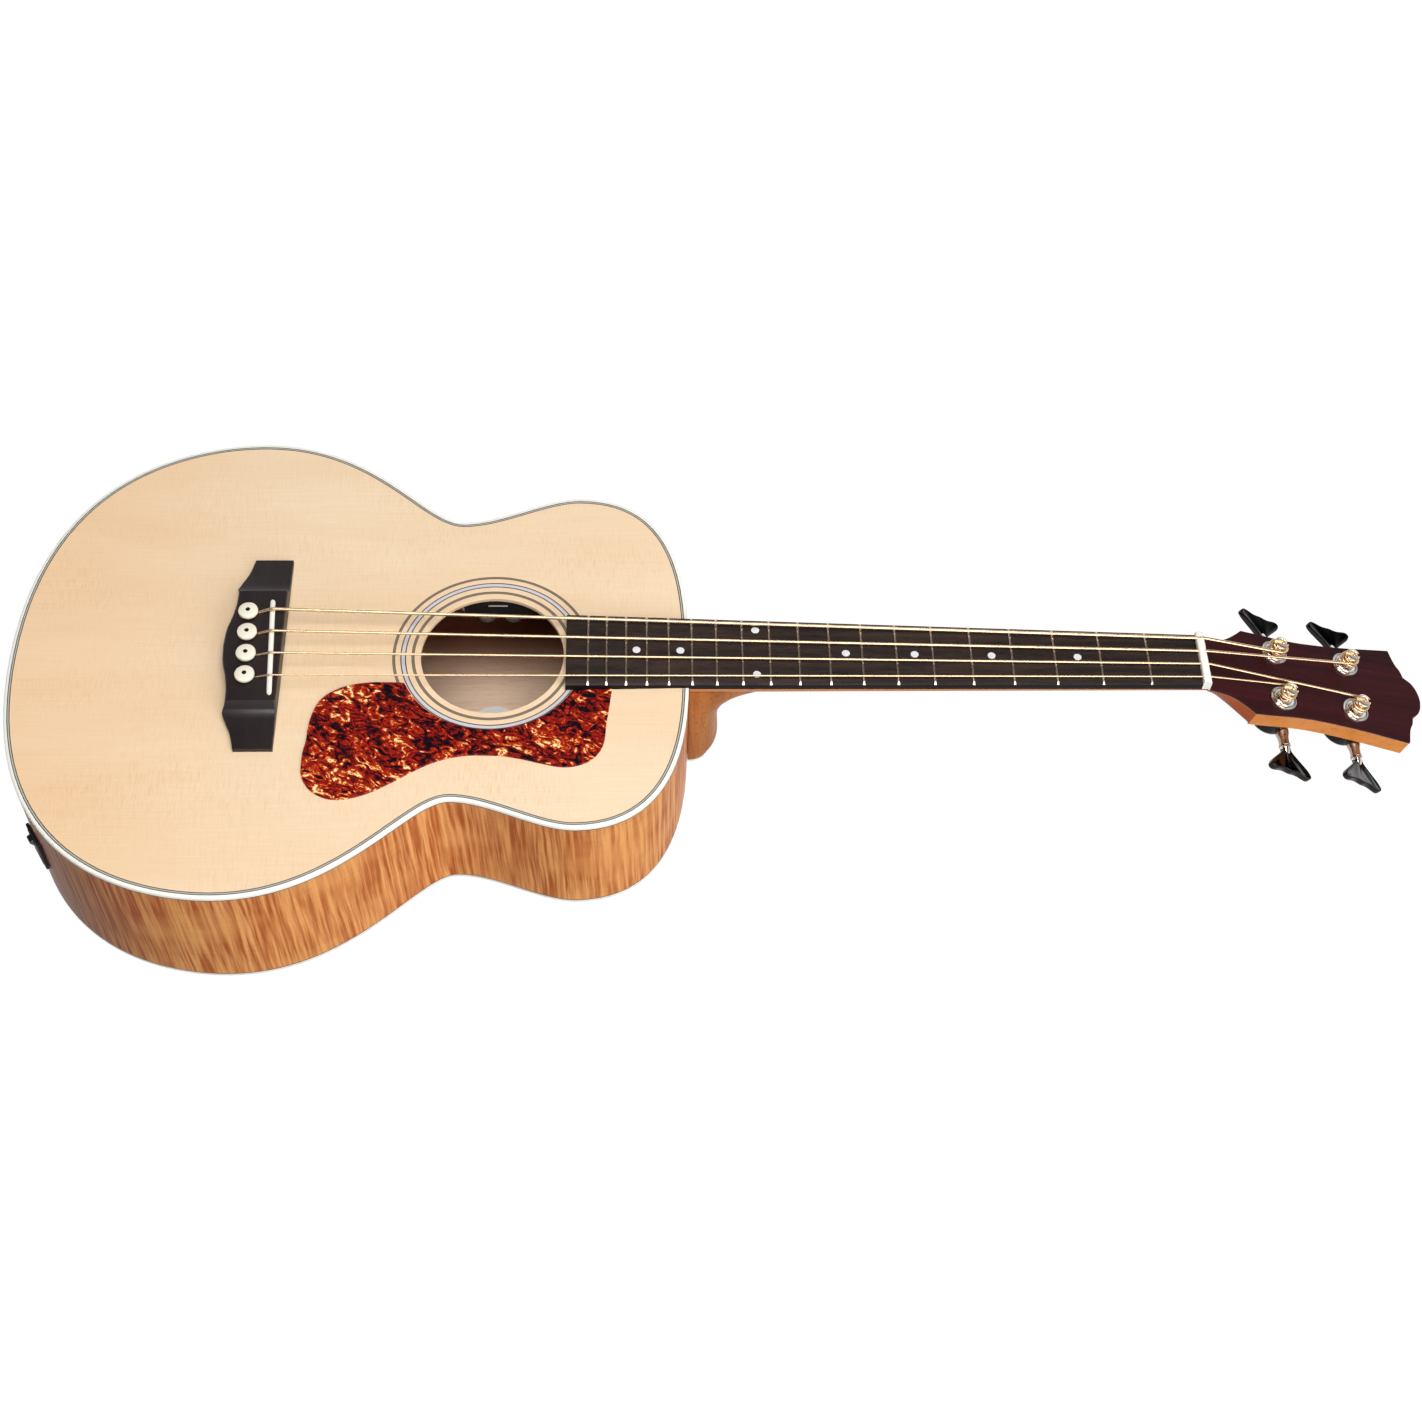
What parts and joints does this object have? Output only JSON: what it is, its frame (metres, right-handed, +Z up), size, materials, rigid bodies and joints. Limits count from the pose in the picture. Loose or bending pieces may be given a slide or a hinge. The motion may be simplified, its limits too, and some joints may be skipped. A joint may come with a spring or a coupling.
{
  "type": "acoustic bass guitar",
  "caption": "Short-scale acoustic-electric bass guitar with spruce top, flamed maple sides, white binding, tortoise pickguard and turning tuners",
  "frame": {"origin": "centre of the flat facet of the arched back that the guitar lies on", "axes": "+X from the tail towards the headstock, +Y towards the bass side, +Z up out of the soundboard (tilted 1.7 degrees, because the body is shallower at the neck)"},
  "size_m": [0.9473, 0.3652, 0.1207],
  "materials": {
    "spruce_top": "gloss lacquer over fine straight grain",
    "flamed_maple": "gloss amber lacquer over flamed figure",
    "brace_wood": "bare, sanded",
    "plain_maple": "bare, sanded",
    "block_wood": "bare, sanded",
    "neck_wood": "satin lacquer",
    "dark_fretwood": "oiled dark hardwood, with nickel-silver frets on the fretboard",
    "head_veneer": "gloss dark red-brown veneer",
    "ivory_trim": "polished",
    "gray_inlay": "polished flush",
    "tortoise_sheet": "polished, red and amber with black clouds",
    "bronze_wound": "bright wound phosphor bronze",
    "bright_chrome": "polished nickel",
    "dark_chrome": "polished dark nickel",
    "rod_steel": "plain",
    "black_plastic": "fine matt"
  },
  "bodies": {
    "instrument": {"soundboard": "spruce_top", "back": "flamed_maple", "side_bass": "flamed_maple", "side_treble": "flamed_maple", "rosette_inner_ring": "gray_inlay", "rosette_outer_ring": "gray_inlay", "top_purfling": "gray_inlay", "rosette_middle_ring": "ivory_trim", "top_binding": "ivory_trim", "back_binding": "ivory_trim", "saddle": "ivory_trim", "nut": "ivory_trim", "heel_cap": "ivory_trim", "bridge_pin_e": "ivory_trim", "bridge_pin_a": "ivory_trim", "bridge_pin_d": "ivory_trim", "bridge_pin_g": "ivory_trim", "lining_top_bass": "brace_wood", "lining_top_treble": "brace_wood", "lining_back_bass": "brace_wood", "lining_back_treble": "brace_wood", "x_brace": "brace_wood", "upper_brace": "brace_wood", "tone_bar_1": "brace_wood", "tone_bar_2": "brace_wood", "bridge_plate": "plain_maple", "neck_block": "block_wood", "tail_block": "block_wood", "pickguard": "tortoise_sheet", "bridge": "dark_fretwood", "fretboard": "dark_fretwood", "neck": "neck_wood", "headstock_overlay": "head_veneer", "truss_rod": "rod_steel", "string_e": "bronze_wound", "tuner_bushing_e": "bright_chrome", "tuner_housing_e": "dark_chrome", "string_a": "bronze_wound", "tuner_bushing_a": "bright_chrome", "tuner_housing_a": "dark_chrome", "string_d": "bronze_wound", "tuner_bushing_d": "bright_chrome", "tuner_housing_d": "dark_chrome", "string_g": "bronze_wound", "tuner_bushing_g": "bright_chrome", "tuner_housing_g": "dark_chrome", "preamp_body": "black_plastic", "battery_box": "black_plastic", "endpin_jack": "bright_chrome"},
    "key_e": {"tuner_key_e": "dark_chrome"},
    "post_e": {"tuner_post_e": "bright_chrome"},
    "key_a": {"tuner_key_a": "dark_chrome"},
    "post_a": {"tuner_post_a": "bright_chrome"},
    "key_d": {"tuner_key_d": "dark_chrome"},
    "post_d": {"tuner_post_d": "bright_chrome"},
    "key_g": {"tuner_key_g": "dark_chrome"},
    "post_g": {"tuner_post_g": "bright_chrome"},
    "volume_knob": {"volume_wheel": "black_plastic"},
    "tone_knob": {"tone_wheel": "black_plastic"},
    "door": {"battery_door": "black_plastic"}
  },
  "joints": [
    {"name": "tuner_key_e_turn", "type": "hinge", "parent": "instrument", "child": "key_e", "pos_m": [0.5436, 0.019, 0.03997], "axis": [0, 1, 0], "continuous": true},
    {"name": "tuner_post_e_turn", "type": "hinge", "parent": "instrument", "child": "post_e", "pos_m": [0.54255, 0.019, 0.05987], "axis": [0.2809, 0, 0.9597], "continuous": true},
    {"name": "tuner_key_a_turn", "type": "hinge", "parent": "instrument", "child": "key_a", "pos_m": [0.59476, 0.019, 0.025], "axis": [0, 1, 0], "continuous": true},
    {"name": "tuner_post_a_turn", "type": "hinge", "parent": "instrument", "child": "post_a", "pos_m": [0.5937, 0.019, 0.04489], "axis": [0.2809, 0, 0.9597], "continuous": true},
    {"name": "tuner_key_d_turn", "type": "hinge", "parent": "instrument", "child": "key_d", "pos_m": [0.59476, -0.019, 0.025], "axis": [0, -1, 0], "continuous": true},
    {"name": "tuner_post_d_turn", "type": "hinge", "parent": "instrument", "child": "post_d", "pos_m": [0.5937, -0.019, 0.04489], "axis": [0.2809, 0, 0.9597], "continuous": true},
    {"name": "tuner_key_g_turn", "type": "hinge", "parent": "instrument", "child": "key_g", "pos_m": [0.5436, -0.019, 0.03997], "axis": [0, -1, 0], "continuous": true},
    {"name": "tuner_post_g_turn", "type": "hinge", "parent": "instrument", "child": "post_g", "pos_m": [0.54255, -0.019, 0.05987], "axis": [0.2809, 0, 0.9597], "continuous": true},
    {"name": "volume_turn", "type": "hinge", "parent": "instrument", "child": "volume_knob", "pos_m": [0.01531, 0.0493, 0.08047], "axis": [0.0299, 0, 0.9996], "range_deg": [-135, 135]},
    {"name": "tone_turn", "type": "hinge", "parent": "instrument", "child": "tone_knob", "pos_m": [0.0329, 0.0493, 0.07994], "axis": [0.0299, 0, 0.9996], "range_deg": [-135, 135]},
    {"name": "battery_door_hinge", "type": "hinge", "parent": "instrument", "child": "door", "pos_m": [-0.26549, -0.11745, 0.05095], "axis": [0.5133, -0.8581, -0.0153], "range_deg": [0, 100]}
  ],
  "couplings": [
    {"joint": "tuner_post_e_turn", "follows": "tuner_key_e_turn", "ratio": -0.0625},
    {"joint": "tuner_post_a_turn", "follows": "tuner_key_a_turn", "ratio": -0.0625},
    {"joint": "tuner_post_d_turn", "follows": "tuner_key_d_turn", "ratio": -0.0625},
    {"joint": "tuner_post_g_turn", "follows": "tuner_key_g_turn", "ratio": -0.0625}
  ]
}
